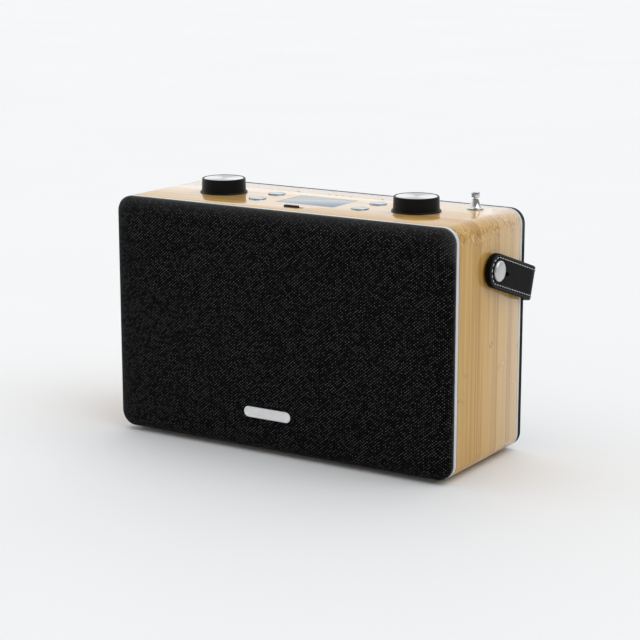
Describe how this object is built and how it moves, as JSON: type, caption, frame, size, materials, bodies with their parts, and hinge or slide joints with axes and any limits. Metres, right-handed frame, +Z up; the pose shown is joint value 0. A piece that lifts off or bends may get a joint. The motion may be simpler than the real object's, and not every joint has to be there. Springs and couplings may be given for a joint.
{
  "type": "portable radio",
  "caption": "Portable table radio: bent-bamboo sleeve case, rolled black fabric front, top knobs, buttons and display, telescopic aerial and leather carrying strap.",
  "frame": {"origin": "middle of the bounding box in X and Y, on the surface that the feet stand on", "axes": "+X to the listener's right along the case's width, +Y to the back, +Z up; the fabric front faces -Y"},
  "size_m": [0.3022, 0.1308, 0.1912],
  "materials": {
    "bamboo": "bent bamboo laminate, vertical strips with fine fibres, clear lacquer",
    "trim_white": "off-white moulded plastic, satin gloss",
    "black_cloth": "black acoustic cloth in a coarse basket weave",
    "black_plastic": "black moulded plastic, fine texture",
    "knob_black": "black satin knob skirt",
    "spun_aluminium": "spun aluminium with concentric turning marks",
    "badge_silver": "brushed plate, no lettering",
    "chrome": "bright chrome plate",
    "button_silver": "satin anodised, faintly blue",
    "display_glass": "flat display window, unlit, blue grey",
    "leather": "black grained leather with painted edges and pale stitching",
    "steel": "plated pressed steel",
    "paper": "pressed paper cone with a rubber surround",
    "ferrite": "dark sintered ferrite",
    "board_green": "green circuit board",
    "cell_wrap": "blue shrink wrap",
    "rubber": "black rubber"
  },
  "bodies": {
    "cabinet": {"cabinet_sleeve": "bamboo", "front_trim": "trim_white", "rear_trim": "trim_white", "grille_cloth": "black_cloth", "grille_frame": "black_plastic", "badge": "badge_silver", "front_baffle": "black_plastic", "speaker_basket_left": "steel", "speaker_cone_left": "paper", "speaker_magnet_left": "ferrite", "speaker_basket_right": "steel", "speaker_cone_right": "paper", "speaker_magnet_right": "ferrite", "rear_cover": "black_cloth", "battery_bay": "black_plastic", "battery_pack": "cell_wrap", "connector_panel": "black_plastic", "dc_inlet": "black_plastic", "headphone_socket": "black_plastic", "usb_socket": "steel", "rear_screw_lower_left": "steel", "rear_screw_lower_right": "steel", "rear_screw_upper_left": "steel", "rear_screw_upper_right": "steel", "control_board": "board_green", "main_board": "board_green", "display_window": "display_glass", "display_module": "black_plastic", "encoder_body_left": "steel", "encoder_body_right": "steel", "knob_collar_left": "rubber", "knob_collar_right": "rubber", "aerial_bush": "chrome", "aerial_tube": "steel", "strap_stud_left": "spun_aluminium", "strap_stud_right": "spun_aluminium", "strap_washer_left": "black_plastic", "strap_washer_right": "black_plastic", "foot_front_left": "rubber", "foot_front_right": "rubber", "foot_rear_left": "rubber", "foot_rear_right": "rubber"},
    "left_knob_plunger": {"encoder_stem_left": "black_plastic"},
    "left_knob": {"knob_left": "knob_black", "knob_cap_left": "spun_aluminium", "encoder_shaft_left": "steel"},
    "right_knob_plunger": {"encoder_stem_right": "black_plastic"},
    "right_knob": {"knob_right": "knob_black", "knob_cap_right": "spun_aluminium", "encoder_shaft_right": "steel"},
    "front_left_button": {"button_front_left": "button_silver"},
    "front_right_button": {"button_front_right": "button_silver"},
    "rear_left_button": {"button_rear_left": "button_silver"},
    "rear_right_button": {"button_rear_right": "button_silver"},
    "slider": {"power_slider": "black_plastic"},
    "aerial_lower": {"aerial_section_1": "chrome"},
    "aerial_middle": {"aerial_section_2": "chrome"},
    "aerial_upper": {"aerial_section_3": "chrome"},
    "carrying_strap": {"strap": "leather"},
    "battery_lid": {"battery_door": "black_plastic"}
  },
  "joints": [
    {"name": "left_knob_press", "type": "slide", "parent": "cabinet", "child": "left_knob_plunger", "axis": [0, 0, -1], "range_m": [0, 0.0008], "stiffness_N_per_m": 1500},
    {"name": "left_knob_turn", "type": "hinge", "parent": "left_knob_plunger", "child": "left_knob", "pos_m": [-0.083, -0.00568, 0.179], "axis": [0, 0, 1], "continuous": true},
    {"name": "right_knob_press", "type": "slide", "parent": "cabinet", "child": "right_knob_plunger", "axis": [0, 0, -1], "range_m": [0, 0.0008], "stiffness_N_per_m": 1500},
    {"name": "right_knob_turn", "type": "hinge", "parent": "right_knob_plunger", "child": "right_knob", "pos_m": [0.083, -0.00568, 0.179], "axis": [0, 0, 1], "continuous": true},
    {"name": "front_left_button_press", "type": "slide", "parent": "cabinet", "child": "front_left_button", "axis": [0, 0, -1], "range_m": [0, 0.0006], "stiffness_N_per_m": 900},
    {"name": "front_right_button_press", "type": "slide", "parent": "cabinet", "child": "front_right_button", "axis": [0, 0, -1], "range_m": [0, 0.0006], "stiffness_N_per_m": 900},
    {"name": "rear_left_button_press", "type": "slide", "parent": "cabinet", "child": "rear_left_button", "axis": [0, 0, -1], "range_m": [0, 0.0006], "stiffness_N_per_m": 900},
    {"name": "rear_right_button_press", "type": "slide", "parent": "cabinet", "child": "rear_right_button", "axis": [0, 0, -1], "range_m": [0, 0.0006], "stiffness_N_per_m": 900},
    {"name": "power_slide", "type": "slide", "parent": "cabinet", "child": "slider", "axis": [1, 0, 0], "range_m": [0, 0.004]},
    {"name": "aerial_pull_1", "type": "slide", "parent": "cabinet", "child": "aerial_lower", "axis": [0, 0, 1], "range_m": [0, 0.14]},
    {"name": "aerial_pull_2", "type": "slide", "parent": "aerial_lower", "child": "aerial_middle", "axis": [0, 0, 1], "range_m": [0, 0.145]},
    {"name": "aerial_pull_3", "type": "slide", "parent": "aerial_middle", "child": "aerial_upper", "axis": [0, 0, 1], "range_m": [0, 0.145]},
    {"name": "strap_swing", "type": "hinge", "parent": "cabinet", "child": "carrying_strap", "pos_m": [0, -0.00568, 0.1428], "axis": [1, 0, 0], "range_deg": [0, 212]},
    {"name": "battery_door_swing", "type": "hinge", "parent": "cabinet", "child": "battery_lid", "pos_m": [0, 0.04762, 0.0198], "axis": [-1, 0, 0], "range_deg": [0, 95]}
  ]
}
